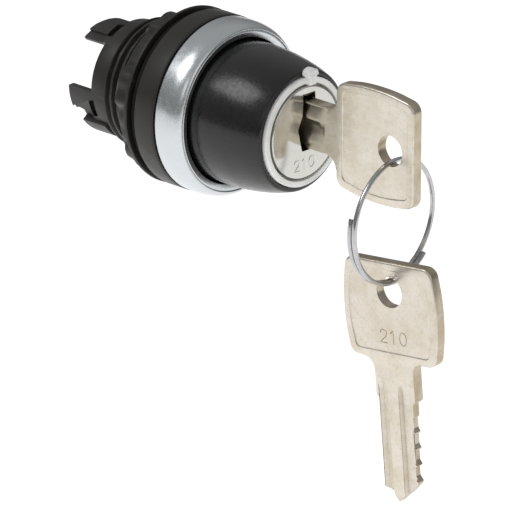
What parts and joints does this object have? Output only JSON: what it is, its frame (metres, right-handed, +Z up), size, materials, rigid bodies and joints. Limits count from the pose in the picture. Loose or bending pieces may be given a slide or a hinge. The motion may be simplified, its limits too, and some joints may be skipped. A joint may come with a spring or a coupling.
{
  "type": "selector key switch",
  "caption": "Key-operated selector switch head for a round panel hole: chrome bezel, black knob, key in the lock and a spare key hanging on a split ring.",
  "frame": {"origin": "on the switch axis, at the panel's front face, where the gasket's rear face seats", "axes": "+Z up with the pointer at 12 o'clock, +Y along the switch axis to the rear through the panel, -Y towards the operator"},
  "size_m": [0.0298, 0.0726, 0.0735],
  "materials": {
    "black_plastic": "moulded charcoal plastic, fine grain",
    "black_gloss": "semi-gloss black plastic with a fine spark texture",
    "satin_chrome": "satin chrome plating",
    "rubber": "matt black rubber",
    "white_plastic": "off-white plastic",
    "polished_nickel": "polished nickel plate",
    "key_nickel": "nickel-plated brass, lightly worn",
    "steel": "bright spring steel",
    "brass": "machined brass",
    "natural_plastic": "unpigmented low-friction plastic"
  },
  "bodies": {
    "housing": {"body_tube": "black_plastic", "bezel_ring": "satin_chrome", "panel_gasket": "rubber", "rotor_seal": "rubber", "lock_barrel": "brass", "detent_ball_left": "steel", "detent_ball_right": "steel", "detent_spring_left": "steel", "detent_spring_right": "steel", "rear_cover": "natural_plastic", "cover_screw_left": "steel", "cover_screw_right": "steel", "return_spring": "steel"},
    "washer": {"clamp_washer": "black_plastic"},
    "nut": {"clamp_nut": "black_plastic"},
    "rotor": {"selector_cone": "black_gloss", "index_ring": "white_plastic", "lock_plug": "polished_nickel", "thrust_washer": "steel", "plug_clip": "steel", "drive_spindle": "natural_plastic", "face_cam": "natural_plastic", "wafer_1": "brass", "wafer_2": "brass", "wafer_3": "brass", "wafer_4": "brass", "wafer_5": "brass", "wafer_spring_1": "steel", "wafer_spring_2": "steel", "wafer_spring_3": "steel", "wafer_spring_4": "steel", "wafer_spring_5": "steel"},
    "pusher": {"pusher": "natural_plastic"},
    "key": {"key_in_lock": "key_nickel"},
    "ring": {"split_ring": "steel"},
    "spare": {"spare_key": "key_nickel"}
  },
  "joints": [
    {"name": "selector_turn", "type": "hinge", "parent": "housing", "child": "rotor", "pos_m": [0, 0, 0], "axis": [0, 1, 0], "range_deg": [0, 90]},
    {"name": "pusher_travel", "type": "slide", "parent": "housing", "child": "pusher", "axis": [0, 1, 0], "range_m": [0, 0.003], "deforming": ["return_spring"]},
    {"name": "key_slide", "type": "slide", "parent": "rotor", "child": "key", "axis": [0, -1, 0], "range_m": [0, 0.018]},
    {"name": "ring_swing", "type": "hinge", "parent": "key", "child": "ring", "pos_m": [0.00085, -0.0439, -0.00035], "axis": [0.9981, 0.0611, 0], "range_deg": [-50, 20]},
    {"name": "spare_key_swing", "type": "hinge", "parent": "ring", "child": "spare", "pos_m": [0.00085, -0.0439, -0.02085], "axis": [0.9981, 0.0611, 0], "range_deg": [-30, 30]},
    {"name": "nut_travel", "type": "slide", "parent": "housing", "child": "washer", "axis": [0, 1, 0], "range_m": [0, 0.0042]},
    {"name": "nut_turn", "type": "hinge", "parent": "washer", "child": "nut", "pos_m": [0, 0, 0], "axis": [0, 1, 0], "range_deg": [0, 960]}
  ],
  "couplings": [
    {"joint": "pusher_travel", "follows": "selector_turn", "m_per_rad": 0.0019099},
    {"joint": "nut_travel", "follows": "nut_turn", "m_per_rad": 0.00023873}
  ]
}
